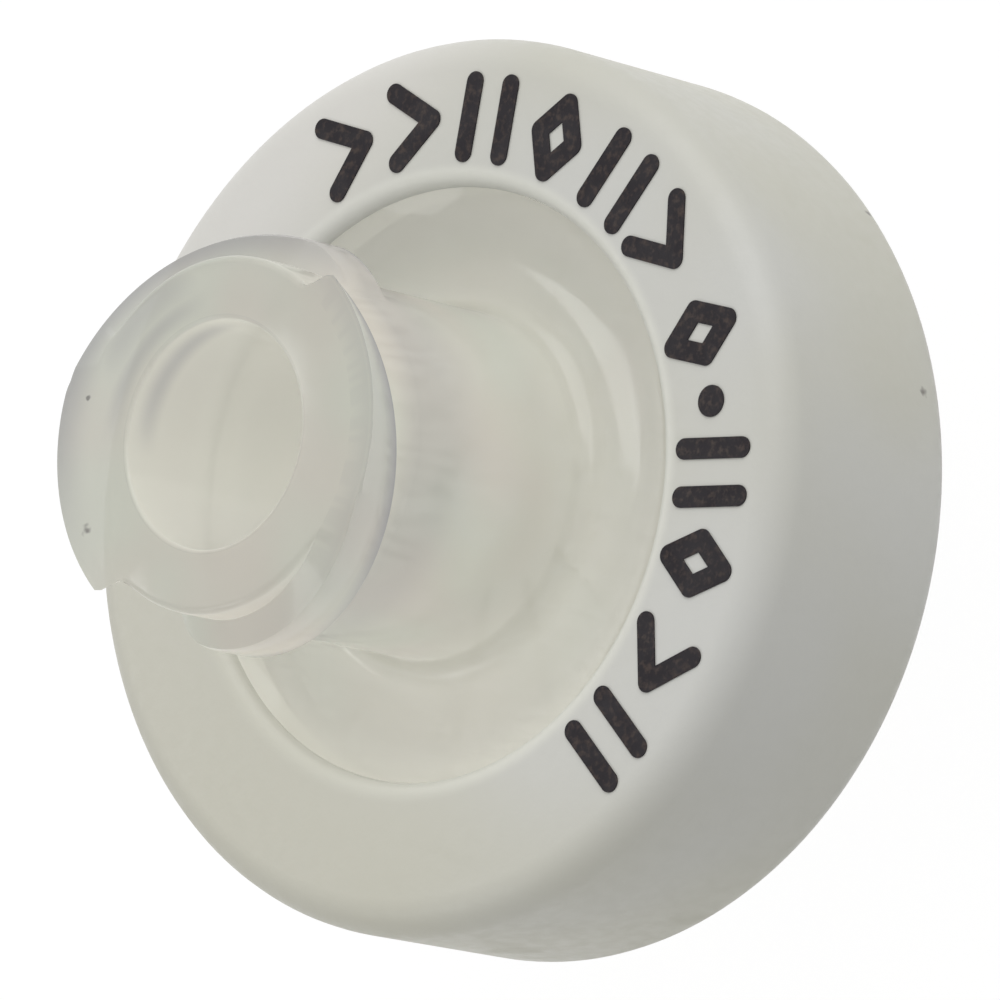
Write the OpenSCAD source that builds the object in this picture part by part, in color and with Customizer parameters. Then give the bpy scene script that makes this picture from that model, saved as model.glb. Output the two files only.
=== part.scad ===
// Small overmoulded syringe filter with a 13 mm membrane.
// Two clear housings clamp a glass fibre disc and a membrane between them, and a white
// ring is moulded round their rims. Liquid goes in at the Luer-lock hub on top and out of
// the tapered nozzle below. +Z runs along the flow axis towards the inlet, and the
// origin is the middle of the nozzle's end, on which the part stands.

/* [Filter discs] */
// Diameter of the membrane and of the glass fibre disc on it
disc_d = 13; // [10:0.5:25]
// Thickness of the glass fibre disc
prefilter_t = 0.4; // [0.2:0.05:0.8]
// Thickness of the membrane
membrane_t = 0.15; // [0.1:0.01:0.3]
// Width of the band in which the discs are clamped
seal_w = 0.6; // [0.4:0.05:1]
// Gap between the discs and the wall of their pocket
disc_gap = 0.05; // [0.02:0.01:0.15]

/* [Overmould ring] */
// Wall of the ring outside the housings
skin_w = 1.3; // [1:0.05:3]
// Thickness of the ring over and under the rims of the housings
cover_t = 1.05; // [0.9:0.05:2]
// How far the edge of each window lies inside the edge of the discs
window_in = 0.8; // [0.6:0.05:1.2]
// Rounding of the outer edge on the inlet side
front_round = 0.7; // [0.2:0.05:0.9]
// Rounding of the outer edge on the outlet side
back_round = 0.6; // [0.2:0.05:0.9]
// Rounding of the ring at each window, and depth of the window's edge below the face
lip_drop = 0.3; // [0.1:0.05:0.4]

/* [Housings] */
// Width of the rim outside the disc pocket
rim_w = 0.75; // [0.5:0.05:1.5]
// Thickness of the inlet housing's rim
inlet_rim_t = 1.35; // [1.2:0.05:2.5]
// Thickness of the outlet housing's rim, pocket included
outlet_rim_t = 1.75; // [1.6:0.05:3]
// Depth of the dished trough below the edge of the window
trough_depth = 0.45; // [0.3:0.05:0.5]
// Width of the flat floor of the trough
trough_floor_w = 0.55; // [0.2:0.05:0.8]
// Depth of the flow space over the discs
inlet_space = 0.3; // [0.15:0.05:0.4]
// Depth of the drain channels under the discs
drain_depth = 0.35; // [0.2:0.05:0.4]
// Number of radial ribs over the discs
rib_count = 12; // [6:1:16]
// Width of a radial rib
rib_w = 0.4; // [0.3:0.05:0.5]
// Width of a round drain channel and of the rib beside it
drain_w = 0.5; // [0.4:0.05:0.8]
// Number of radial drain channels
drain_count = 8; // [4:1:12]

/* [Inlet hub] */
// Height of the hub above the face of the ring
hub_h = 6.0; // [5.8:0.1:12]
// Diameter of the hub under its thread
hub_d = 6.7; // [6.2:0.05:6.73]
// Rounding at the foot of the hub
hub_foot_round = 0.5; // [0.2:0.05:0.6]
// Rounding of the outer edge of the hub's end
hub_edge_round = 0.15; // [0.05:0.01:0.25]
// Diameter over the two threads
thread_d = 7.8; // [7.7:0.01:7.83]
// Rise of a thread in one whole turn
thread_lead = 5.0; // [3:0.1:6]
// Angle that each thread covers
thread_sweep = 176; // [120:1:178]
// Width of a thread at its crest
thread_crest_w = 1.05; // [0.5:0.05:1.2]
// Width of a thread at its foot
thread_foot_w = 1.35; // [1.2:0.05:1.6]
// Angle of the first thread's start round the axis
thread_start = 154; // [0:1:360]
// Diameter of the tapered socket at its mouth
socket_d = 4.3; // [4.27:0.01:4.315]
// Depth of the tapered socket
socket_depth = 7.5; // [7.2:0.05:7.6]
// Diameter of the passage from the socket to the discs
inlet_passage_d = 2.2; // [1.2:0.1:2.6]

/* [Outlet nozzle] */
// Length of the nozzle below the ring
nozzle_l = 7.6; // [7.6:0.1:14]
// Diameter of the nozzle at its end
nozzle_d = 4.0; // [3.95:0.01:4.03]
// Length of the tapered part of the nozzle
taper_l = 7.5; // [6.5:0.1:7.5]
// Rounding at the nozzle's foot
nozzle_foot_round = 0.7; // [0.3:0.05:0.8]
// Rounding of the nozzle's end
nozzle_end_round = 0.1; // [0.05:0.01:0.2]
// Diameter of the outlet passage
outlet_passage_d = 1.8; // [1.2:0.1:2.4]

/* [Printed marks] */
// Thickness of the ink
ink_t = 0.03; // [0.02:0.01:0.06]
// Height of a mark, along the radius
mark_h = 1.75; // [1:0.05:1.9]
// Width of a mark, along the ring
mark_w = 1.3; // [0.8:0.05:1.6]
// Width of a printed stroke
stroke_w = 0.4; // [0.2:0.05:0.45]
// Radial gap between the marks and the edge of the window
mark_gap = 0.4; // [0.3:0.05:0.45]

/* [Hidden] */

luer_taper = 0.06;            // change of diameter per length of every Luer cone
round_fn = 96;                // sides of a drawn circle
past = 1;                     // how far a cut runs past the face that it opens
seat = 0.2;                   // how deep a thread's foot is sunk into the hub

disc_r = disc_d / 2;
pocket_r = disc_r + disc_gap;
rim_r = pocket_r + rim_w;
ring_r = rim_r + skin_w;
window_r = disc_r - window_in;
space_r = disc_r - seal_w;
hub_r = hub_d / 2;
thread_r = thread_d / 2;

ring_h = 2 * cover_t + inlet_rim_t + outlet_rim_t;
ring_bottom = nozzle_l;
ring_top = ring_bottom + ring_h;
hub_end = ring_top + hub_h;
parting = ring_bottom + cover_t + outlet_rim_t;        // where the housings meet
pocket_depth = prefilter_t + membrane_t;
pocket_floor = parting - pocket_depth;
inlet_roof = parting + inlet_space;                    // roof of the flow space
drain_floor = pocket_floor - drain_depth;
inlet_land = ring_top - lip_drop;                      // edge of the inlet window
outlet_land = ring_bottom + lip_drop;                  // edge of the outlet window

socket_floor = hub_end - socket_depth;
socket_r = socket_d / 2;
socket_floor_r = socket_r - socket_depth * luer_taper / 2;
nozzle_r = nozzle_d / 2;
nozzle_root_r = nozzle_r + taper_l * luer_taper / 2;

mark_r = window_r + mark_gap + mark_h / 2;             // middle of the band of marks

// ---- flat shapes -------------------------------------------------------------------

// Removes the corner at [0, 0] of a shape that lies in the quarter sx, sy of it, down
// to a round of radius r.
module corner_cut(r, sx, sy) {
    mirror([sx < 0 ? 1 : 0, 0]) mirror([0, sy < 0 ? 1 : 0])
        difference() {
            translate([-past, -past]) square(r + past);
            translate([r, r]) circle(r, $fn = round_fn);
        }
}

// A rectangle from [x0, y0] to [x1, y1].
module span(x0, y0, x1, y1) {
    translate([x0, y0]) square([x1 - x0, y1 - y0]);
}

// The dished trough round a stem of radius stem_r, as it is cut from above: a round at
// the stem's foot, a flat floor, and an arc that rises to the edge of the window.
// Height 0 is the edge of the window.
module trough_cut(stem_r, foot_round) {
    arc_start = stem_r + foot_round + trough_floor_w;
    arc_w = window_r - arc_start;
    arc_r = (arc_w * arc_w + trough_depth * trough_depth) / (2 * trough_depth);
    difference() {
        span(stem_r, -trough_depth, window_r, past);
        difference() {
            span(stem_r, -trough_depth, stem_r + foot_round, foot_round - trough_depth);
            translate([stem_r + foot_round, foot_round - trough_depth])
                circle(foot_round, $fn = round_fn);
        }
        difference() {
            span(arc_start, -trough_depth, window_r, 0);
            translate([arc_start, arc_r - trough_depth]) circle(arc_r, $fn = 2 * round_fn);
        }
    }
}

// A straight stroke with round ends between two points.
module stroke(x0, y0, x1, y1) {
    length = norm([x1 - x0, y1 - y0]);
    translate([x0, y0]) rotate(atan2(y1 - y0, x1 - x0)) {
        translate([0, -stroke_w / 2]) square([length, stroke_w]);
        circle(d = stroke_w, $fn = 32);
        translate([length, 0]) circle(d = stroke_w, $fn = 32);
    }
}

// ---- printed marks -----------------------------------------------------------------
// Each mark is drawn round [0, 0], with +X pointing out along the radius.

mark_x = (mark_h - stroke_w) / 2;
mark_y = (mark_w - stroke_w) / 2;

module chevron() {
    stroke(-mark_x, mark_y, 0, -mark_y);
    stroke(0, -mark_y, mark_x, mark_y);
}

module lozenge() {
    stroke(-mark_x, 0, 0, mark_y);
    stroke(0, mark_y, mark_x, 0);
    stroke(mark_x, 0, 0, -mark_y);
    stroke(0, -mark_y, -mark_x, 0);
}

module twin_bars() {
    for (side = [-1, 1]) stroke(-mark_x, side * mark_y, mark_x, side * mark_y);
}

module dot() {
    circle(d = 1.5 * stroke_w, $fn = 32);
}

// The marks in order, clockwise as seen from the inlet side: angle and kind.
MARKS = [[33, "chevron"], [19, "chevron"], [4, "twin_bars"], [-11, "lozenge"],
         [-26, "twin_bars"], [-40, "chevron"], [-57, "lozenge"], [-68, "dot"],
         [-79, "twin_bars"], [-93, "lozenge"], [-109, "chevron"], [-124, "twin_bars"]];

module printed_marks() {
    color([0.15, 0.15, 0.16])
        for (mark = MARKS)
            rotate(mark[0]) translate([mark_r, 0, ring_top]) linear_extrude(ink_t) {
                if (mark[1] == "chevron") chevron();
                if (mark[1] == "lozenge") lozenge();
                if (mark[1] == "twin_bars") twin_bars();
                if (mark[1] == "dot") dot();
            }
}

// ---- moulded pieces ----------------------------------------------------------------

module overmould_ring() {
    color([0.88, 0.88, 0.86])
        rotate_extrude($fn = round_fn) difference() {
            span(window_r, ring_bottom, ring_r, ring_top);
            span(0, ring_bottom + cover_t, rim_r, ring_top - cover_t);
            translate([ring_r, ring_top]) corner_cut(front_round, -1, -1);
            translate([ring_r, ring_bottom]) corner_cut(back_round, -1, 1);
            translate([window_r, ring_top]) corner_cut(lip_drop, 1, -1);
            translate([window_r, ring_bottom]) corner_cut(lip_drop, 1, 1);
        }
}

// One of the two threads, as a strip swept down and round the hub, clockwise as seen
// from its end. Each ring of the strip has four corners: foot and crest, above and
// below. The strip starts just above the hub's end, which cuts it, and its crest sinks
// into the hub where it stops.
module thread(start) {
    steps = 44;
    fade = 5;                                  // steps over which an end sinks in
    top = hub_end + thread_crest_w;
    slope = (thread_foot_w - thread_crest_w) / 2;
    function height(i) = sin(90 * min(1, (steps - i) / fade));
    function crest(i) = hub_r - seat / 2 + (thread_r - hub_r + seat / 2) * height(i);
    function drop(i) = thread_lead / 360 * thread_sweep * i / steps;
    function corner(r, z, i) =
        let (a = start - thread_sweep * i / steps) [r * cos(a), r * sin(a), z - drop(i)];
    points = [for (i = [0:steps])
        each [corner(hub_r - seat, top + slope, i),
              corner(crest(i), top, i),
              corner(crest(i), top - thread_crest_w, i),
              corner(hub_r - seat, top - thread_crest_w - slope, i)]];
    sides = [for (i = [0:steps - 1], k = [0:3])
        let (a = 4 * i + k, b = 4 * i + (k + 1) % 4)
        each [[a, b, b + 4], [a, b + 4, a + 4]]];
    last = 4 * steps;
    caps = [[0, 3, 2], [0, 2, 1],
            [last, last + 1, last + 2], [last, last + 2, last + 3]];
    polyhedron(points, concat(sides, caps));
}

module inlet_housing() {
    color([0.85, 0.86, 0.82]) difference() {
        union() {
            rotate_extrude($fn = round_fn) difference() {
                union() {
                    span(0, parting, rim_r, ring_top - cover_t);
                    span(0, parting, window_r, inlet_land);
                    span(0, parting, hub_r, hub_end);
                }
                translate([0, inlet_land]) trough_cut(hub_r, hub_foot_round);
                translate([hub_r, hub_end]) corner_cut(hub_edge_round, -1, -1);
            }
            intersection() {
                union() for (turn = [0, 180]) thread(thread_start + turn);
                translate([0, 0, ring_top]) cylinder(r = thread_r + past, h = hub_h);
            }
        }
        // tapered socket and the passage in its floor
        translate([0, 0, socket_floor])
            cylinder(r1 = socket_floor_r, r2 = socket_r, h = socket_depth, $fn = round_fn);
        translate([0, 0, hub_end]) cylinder(r = socket_r, h = past, $fn = round_fn);
        translate([0, 0, parting - past])
            cylinder(d = inlet_passage_d, h = socket_floor - parting + 2 * past, $fn = 48);
        // flow space over the discs, with radial ribs left standing in it
        difference() {
            translate([0, 0, parting - past])
                cylinder(r = space_r, h = inlet_space + past, $fn = round_fn);
            for (i = [0:rib_count - 1])
                rotate(i * 360 / rib_count)
                    translate([inlet_passage_d / 2 + drain_w, -rib_w / 2, parting - 2 * past])
                        cube([ring_r, rib_w, 2 * past + inlet_space + past]);
        }
    }
}

module outlet_housing() {
    ring_pitch = 2 * drain_w;
    first_r = outlet_passage_d / 2 + drain_w;
    drain_rings = floor((space_r - first_r) / ring_pitch);
    color([0.85, 0.86, 0.82]) difference() {
        rotate_extrude($fn = round_fn) difference() {
            union() {
                span(0, ring_bottom + cover_t, rim_r, parting);
                span(0, outlet_land, window_r, parting);
                polygon([[0, 0], [nozzle_r, 0], [nozzle_root_r, taper_l],
                         [nozzle_root_r, parting], [0, parting]]);
            }
            translate([0, outlet_land]) mirror([0, 1])
                trough_cut(nozzle_root_r, nozzle_foot_round);
            translate([nozzle_r, 0]) corner_cut(nozzle_end_round, -1, 1);
        }
        // pocket for the discs
        translate([0, 0, pocket_floor])
            cylinder(r = pocket_r, h = pocket_depth + past, $fn = round_fn);
        // round drain channels and the radial channels that join them to the outlet
        for (i = [0:drain_rings - 1])
            translate([0, 0, drain_floor]) difference() {
                cylinder(r = first_r + i * ring_pitch + drain_w,
                         h = drain_depth + past, $fn = round_fn);
                translate([0, 0, -past])
                    cylinder(r = first_r + i * ring_pitch,
                             h = drain_depth + 3 * past, $fn = round_fn);
            }
        for (i = [0:drain_count - 1])
            rotate(i * 360 / drain_count) translate([0, -drain_w / 2, drain_floor])
                cube([space_r - drain_w / 2, drain_w, drain_depth + past]);
        translate([0, 0, -past])
            cylinder(d = outlet_passage_d, h = pocket_floor + 2 * past, $fn = 48);
    }
}

module glass_fibre_prefilter() {
    color([0.97, 0.97, 0.95]) translate([0, 0, parting - prefilter_t])
        cylinder(r = disc_r, h = prefilter_t, $fn = round_fn);
}

module pes_membrane() {
    color([0.99, 0.99, 0.98]) translate([0, 0, pocket_floor])
        cylinder(r = disc_r, h = membrane_t, $fn = round_fn);
}

overmould_ring();
inlet_housing();
outlet_housing();
glass_fibre_prefilter();
pes_membrane();
printed_marks();
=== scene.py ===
"""A small overmoulded syringe filter, dressed for a plain pale studio.

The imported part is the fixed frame. Its round pieces are turned again here in finer
steps, and every piece gets the finish of its material slot. Lengths are in metres: +Z
runs along the flow axis towards the inlet, and the origin is the middle of the nozzle's
end, on which the part stands.
"""

import logging
import math
from dataclasses import dataclass
from enum import Enum
from functools import reduce

import bmesh
import bpy
from mathutils import Matrix, Vector


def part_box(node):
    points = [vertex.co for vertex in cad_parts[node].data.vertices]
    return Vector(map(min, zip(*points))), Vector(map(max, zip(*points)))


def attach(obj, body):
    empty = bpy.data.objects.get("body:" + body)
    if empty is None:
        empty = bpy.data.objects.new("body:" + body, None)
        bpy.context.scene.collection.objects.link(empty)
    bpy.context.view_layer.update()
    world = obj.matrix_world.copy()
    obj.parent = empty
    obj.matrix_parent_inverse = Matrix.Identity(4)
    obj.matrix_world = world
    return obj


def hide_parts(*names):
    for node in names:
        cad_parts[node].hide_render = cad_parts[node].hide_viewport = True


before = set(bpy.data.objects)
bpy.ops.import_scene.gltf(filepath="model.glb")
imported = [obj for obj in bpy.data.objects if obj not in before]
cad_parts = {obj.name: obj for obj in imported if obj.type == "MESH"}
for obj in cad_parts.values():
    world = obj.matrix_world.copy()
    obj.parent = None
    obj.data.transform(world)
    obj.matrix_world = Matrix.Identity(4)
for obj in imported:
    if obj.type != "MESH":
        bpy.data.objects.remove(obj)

MM = 0.001
BODY = "root"
SEAM = 0.01 * MM            # gap left between two pieces that touch
WELD = 0.001 * MM           # points of one piece that lie closer than this are the same
TURN_STEPS = 192            # steps of a whole turn
ROUND_STEPS = 8             # steps of a rounded corner
ROUND_MIDDLE = 0.3          # how far a round's middle lies from both faces, in radii
CREASE = 32.0               # angle in degrees past which an edge is sharp
# painted shade: the attribute below holds how much painted shade lies along the flanks of the threads
THREAD_SHADE = "flank"             # attribute that is 1 along the flanks of the threads
PLASTIC_IOR = 1.49          # how strongly both plastics bend light
LOG = logging.getLogger("syringe_filter")

Colour = tuple[float, float, float, float]      # a colour as a shader reads it
Shown = tuple[int, int, int]                    # a colour as a screen shows it
Range = tuple[float, float]                     # from one value to another
Triple = tuple[float, float, float]             # one number for each axis
Feed = bpy.types.NodeSocket | float | tuple[float, ...]


class Slot(Enum):
    """The material slots of the part's record."""

    OVERMOULD = "white_overmould"
    POLYPROPYLENE = "natural_polypropylene"
    GLASS_FIBRE = "glass_fibre"
    MEMBRANE = "membrane"
    INK = "black_ink"


def display(red: int, green: int, blue: int) -> Colour:
    """Turns a colour as a screen shows it into the one that a shader reads.

    Args:
        red: Red, from 0 to 255.
        green: Green, from 0 to 255.
        blue: Blue, from 0 to 255.

    Returns:
        The linear colour, with an alpha of 1.
    """
    shares = [channel / 255 for channel in (red, green, blue)]
    linear = [s / 12.92 if s <= 0.04045 else ((s + 0.055) / 1.055) ** 2.4 for s in shares]
    return (linear[0], linear[1], linear[2], 1.0)


def held(value: float) -> float:
    """Holds a value between 0 and 1."""
    return max(0.0, min(1.0, value))


def off_axis(place: Vector) -> float:
    """Gives the distance of a place from the flow axis."""
    return math.hypot(place.x, place.y)


def direction(azimuth: float, elevation: float) -> Vector:
    """Gives the unit vector towards an azimuth and elevation in degrees."""
    turn, lift = math.radians(azimuth), math.radians(elevation)
    return Vector((math.cos(lift) * math.cos(turn), math.cos(lift) * math.sin(turn), math.sin(lift)))


# ---- shader nodes ------------------------------------------------------------------


class ShaderNodes:
    """Adds nodes to one shader tree and joins them."""

    def __init__(self, tree: bpy.types.NodeTree) -> None:
        """Starts with a tree that is empty or partly filled."""
        self.tree = tree

    def add(self, kind: str, **settings: object) -> bpy.types.Node:
        """Adds a node.

        Args:
            kind: Blender's name for the type of node.
            **settings: Properties of the node to set.

        Returns:
            The new node.
        """
        node = self.tree.nodes.new(kind)
        for name, value in settings.items():
            setattr(node, name, value)
        return node

    def feed(self, entry: bpy.types.NodeSocket, value: Feed) -> None:
        """Joins a socket to an entry, or writes a constant on it.

        Args:
            entry: The entry to fill.
            value: The socket or the constant.
        """
        if isinstance(value, bpy.types.NodeSocket):
            self.tree.links.new(value, entry)
        else:
            entry.default_value = value

    def here(self) -> bpy.types.NodeSocket:
        """Gives the place on the object, in metres."""
        return self.add("ShaderNodeTexCoord").outputs["Object"]

    def from_axis(self) -> bpy.types.NodeSocket:
        """Measures how far the place lies from the flow axis.

        Returns:
            The distance in metres.
        """
        node = self.add("ShaderNodeVectorMath", operation="LENGTH")
        self.feed(node.inputs[0], self.stretched(self.here(), (1.0, 1.0, 0.0)))
        return node.outputs["Value"]

    def along(self, direction: Feed) -> bpy.types.NodeSocket:
        """Measures how far the place lies along a direction.

        Args:
            direction: The direction, with a length of 1.

        Returns:
            The distance from the origin in metres.
        """
        node = self.add("ShaderNodeVectorMath", operation="DOT_PRODUCT")
        self.feed(node.inputs[0], self.here())
        self.feed(node.inputs[1], direction)
        return node.outputs["Value"]

    def height(self) -> bpy.types.NodeSocket:
        """Gives the height of the place over the nozzle's end, in metres."""
        return self.along((0.0, 0.0, 1.0))

    def maths(self, operation: str, first: Feed, second: Feed) -> bpy.types.NodeSocket:
        """Works out one step of arithmetic.

        Args:
            operation: Blender's name for the step, such as MULTIPLY.
            first: First number.
            second: Second number.

        Returns:
            The result.
        """
        node = self.add("ShaderNodeMath", operation=operation)
        self.feed(node.inputs[0], first)
        self.feed(node.inputs[1], second)
        return node.outputs[0]

    def times(self, *numbers: Feed) -> Feed:
        """Multiplies numbers."""
        return reduce(lambda product, number: self.maths("MULTIPLY", product, number), numbers)

    def most(self, *numbers: Feed) -> Feed:
        """Gives the greatest of several numbers."""
        return reduce(lambda best, number: self.maths("MAXIMUM", best, number), numbers)

    def apart(self, first: Feed, second: Feed) -> bpy.types.NodeSocket:
        """Measures how far two numbers lie apart."""
        return self.maths("ABSOLUTE", self.maths("SUBTRACT", first, second), 0.0)

    def stretched(self, place: bpy.types.NodeSocket, scale: Triple,
                  turn: Triple = (0.0, 0.0, 0.0)) -> bpy.types.NodeSocket:
        """Turns and stretches the space that a pattern is read in.

        Args:
            place: Where the pattern is read.
            scale: Factor along each axis.
            turn: Turn round each axis, in radians.

        Returns:
            The new place.
        """
        node = self.add("ShaderNodeMapping")
        self.feed(node.inputs["Vector"], place)
        self.feed(node.inputs["Rotation"], turn)
        self.feed(node.inputs["Scale"], scale)
        return node.outputs[0]

    def noise(self, place: bpy.types.NodeSocket, scale: Feed, detail: float,
              rough: float = 0.5) -> bpy.types.NodeSocket:
        """Reads a soft random pattern.

        Args:
            place: Where it is read.
            scale: Waves per metre.
            detail: Number of finer layers.
            rough: Weight of the finer layers.

        Returns:
            A value from 0 to 1, mostly near a half.
        """
        node = self.add("ShaderNodeTexNoise")
        self.feed(node.inputs["Vector"], place)
        self.feed(node.inputs["Scale"], scale)
        self.feed(node.inputs["Detail"], detail)
        self.feed(node.inputs["Roughness"], rough)
        return node.outputs[0]

    def ramp(self, value: Feed, low: Feed, high: Feed, to_low: Feed = 0.0,
             to_high: Feed = 1.0) -> bpy.types.NodeSocket:
        """Moves a value from one range to another and holds it inside.

        Args:
            value: Value to move.
            low: Start of the old range.
            high: End of the old range.
            to_low: Start of the new range.
            to_high: End of the new range.

        Returns:
            The value in the new range.
        """
        node = self.add("ShaderNodeMapRange", interpolation_type="SMOOTHSTEP")
        for entry, number in zip(node.inputs, (value, low, high, to_low, to_high)):
            self.feed(entry, number)
        return node.outputs[0]

    def blend(self, share: Feed, first: Feed, second: Feed) -> bpy.types.NodeSocket:
        """Blends two colours.

        Args:
            share: Share of the second colour, from 0 to 1.
            first: First colour.
            second: Second colour.

        Returns:
            The blended colour.
        """
        node = self.add("ShaderNodeMix", data_type="RGBA")
        self.feed(node.inputs[0], share)
        self.feed(node.inputs[6], first)
        self.feed(node.inputs[7], second)
        return node.outputs[2]

    def pick(self, share: Feed, first: Feed, second: Feed) -> bpy.types.NodeSocket:
        """Blends two numbers.

        Args:
            share: Share of the second number, from 0 to 1.
            first: First number.
            second: Second number.

        Returns:
            The blended number.
        """
        node = self.add("ShaderNodeMix", data_type="FLOAT")
        self.feed(node.inputs[0], share)
        self.feed(node.inputs[2], first)
        self.feed(node.inputs[3], second)
        return node.outputs[0]

    def mixed(self, share: Feed, first: bpy.types.NodeSocket,
              second: bpy.types.NodeSocket) -> bpy.types.NodeSocket:
        """Mixes two shaders.

        Args:
            share: Share of the second shader, from 0 to 1.
            first: First shader.
            second: Second shader.

        Returns:
            The mixed shader.
        """
        node = self.add("ShaderNodeMixShader")
        for entry, value in zip(node.inputs, (share, first, second)):
            self.feed(entry, value)
        return node.outputs[0]

    def show(self, shader: bpy.types.NodeSocket) -> None:
        """Makes a shader the surface of the material."""
        self.feed(self.tree.nodes["Material Output"].inputs["Surface"], shader)

    def relief(self, height: bpy.types.NodeSocket, depth: float,
               strength: float) -> bpy.types.NodeSocket:
        """Turns a height into a normal.

        Args:
            height: Height, from 0 to 1.
            depth: Depth of the relief in metres.
            strength: Share of the relief that shows.

        Returns:
            The normal.
        """
        node = self.add("ShaderNodeBump")
        self.feed(node.inputs["Strength"], strength)
        self.feed(node.inputs["Distance"], depth)
        self.feed(node.inputs["Height"], height)
        return node.outputs[0]


class Effect:
    """A shader node group that several finishes share, built when it is first used.

    Attributes:
        title: Name of the group.
        entries: The group's entries, with the value that each has unless it is set.
        results: Names of the group's results.
    """

    title: str = ""
    entries: dict[str, float | Triple] = {}
    results: tuple[str, ...] = ()

    def wire(self, nodes: ShaderNodes, entries: bpy.types.Node, results: bpy.types.Node) -> None:
        """Fills the group. Each effect has its own."""
        raise NotImplementedError

    def group(self) -> bpy.types.NodeTree:
        """Gives the group, and builds it if it isn't there yet.

        Returns:
            The group's node tree.
        """
        known = bpy.data.node_groups.get(self.title)
        if known is not None:
            return known
        tree = bpy.data.node_groups.new(self.title, "ShaderNodeTree")
        for name, value in self.entries.items():
            kind = "NodeSocketVector" if isinstance(value, tuple) else "NodeSocketFloat"
            entry = tree.interface.new_socket(name, in_out="INPUT", socket_type=kind)
            entry.default_value = value
        for name in self.results:
            tree.interface.new_socket(name, in_out="OUTPUT", socket_type="NodeSocketFloat")
        nodes = ShaderNodes(tree)
        self.wire(nodes, nodes.add("NodeGroupInput"), nodes.add("NodeGroupOutput"))
        return tree

    def place(self, nodes: ShaderNodes, **values: Feed) -> bpy.types.Node:
        """Puts the group into a material.

        Args:
            nodes: The material's nodes.
            **values: The group's entries, with an underscore for each space.

        Returns:
            The group's node.
        """
        node = nodes.add("ShaderNodeGroup", node_tree=self.group())
        for name, value in values.items():
            nodes.feed(node.inputs[name.replace("_", " ")], value)
        return node


class MouldGrain(Effect):
    """The skin of a moulded face: a fine grain over broad, faint clouds.

    Attributes:
        cloud_edge: Values of the noise between which a cloud comes in.
    """

    title = "mould_grain"
    entries = {"Grain Scale": 4000.0, "Cloud Scale": 200.0}
    results = ("Grain", "Cloud")
    cloud_edge: Range = (0.3, 0.7)

    def wire(self, nodes: ShaderNodes, entries: bpy.types.Node, results: bpy.types.Node) -> None:
        """Reads the two patterns at the place on the object.

        Args:
            nodes: The group's nodes.
            entries: Node that gives the group's entries.
            results: Node that takes the group's results.
        """
        place = nodes.here()
        grain = nodes.noise(place, entries.outputs["Grain Scale"], detail=2.0, rough=0.6)
        cloud = nodes.noise(place, entries.outputs["Cloud Scale"], detail=1.0)
        nodes.feed(results.inputs["Grain"], grain)
        nodes.feed(results.inputs["Cloud"], nodes.ramp(cloud, *self.cloud_edge))


class HandlingMarks(Effect):
    """Faint rubbed streaks, from many parts that lie loose in one bag.

    Attributes:
        stretch: Factors that draw the noise out into streaks.
        slant: Turn of the streaks round each axis, in radians.
        crest: Values of the noise at which a streak starts and is full.
        patch_scale: Waves per metre of the patches that hold streaks.
        patch_edge: Values of the broad noise between which a patch comes in.
    """

    title = "handling_marks"
    entries = {"Streak Scale": 900.0, "Spread": 0.08}
    results = ("Mask",)
    stretch: Triple = (1.0, 0.09, 0.3)
    slant: Triple = (0.2, 0.4, 0.9)
    crest: Range = (0.7, 0.72)
    patch_scale: float = 260.0
    patch_edge: Range = (0.45, 0.65)

    def wire(self, nodes: ShaderNodes, entries: bpy.types.Node, results: bpy.types.Node) -> None:
        """Keeps the crests of a long, thin noise, where a broad noise allows them.

        Args:
            nodes: The group's nodes.
            entries: Node that gives the group's entries.
            results: Node that takes the group's results.
        """
        place = nodes.here()
        drawn = nodes.stretched(place, self.stretch, self.slant)
        noise = nodes.noise(drawn, entries.outputs["Streak Scale"], detail=2.0, rough=0.65)
        start, full = self.crest
        start = nodes.maths("SUBTRACT", start, entries.outputs["Spread"])
        streak = nodes.ramp(noise, start, full)
        patch = nodes.ramp(nodes.noise(place, self.patch_scale, detail=0.0), *self.patch_edge)
        nodes.feed(results.inputs["Mask"], nodes.times(streak, patch))


class Speck(Effect):
    """A dark grain of dirt with a soft, ragged edge, at one place on the object.

    Attributes:
        ragged_scale: Waves of the edge per metre.
        ragged_edge: Values of the noise between which the edge wanders.
        ragged_by: How far it wanders, as a share of the radius.
        fade: Shares of the radius between which the grain fades.
    """

    title = "speck"
    entries = {"Centre": (0.0, 0.0, 0.0), "Radius": 0.0001}
    results = ("Mask",)
    ragged_scale: float = 9000.0
    ragged_edge: Range = (0.2, 0.8)
    ragged_by: float = 0.35
    fade: Range = (0.2, 1.1)

    def wire(self, nodes: ShaderNodes, entries: bpy.types.Node, results: bpy.types.Node) -> None:
        """Measures how far the place is from the centre, with a ragged limit.

        Args:
            nodes: The group's nodes.
            entries: Node that gives the group's entries.
            results: Node that takes the group's results.
        """
        place = nodes.here()
        gap = nodes.add("ShaderNodeVectorMath", operation="DISTANCE")
        nodes.feed(gap.inputs[0], place)
        nodes.feed(gap.inputs[1], entries.outputs["Centre"])
        share = nodes.maths("DIVIDE", gap.outputs["Value"], entries.outputs["Radius"])
        edge = nodes.noise(place, self.ragged_scale, detail=0.0)
        ragged = nodes.ramp(edge, *self.ragged_edge, -self.ragged_by, self.ragged_by)
        mask = nodes.ramp(nodes.maths("ADD", share, ragged), *self.fade, 1.0, 0.0)
        nodes.feed(results.inputs["Mask"], mask)


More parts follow.
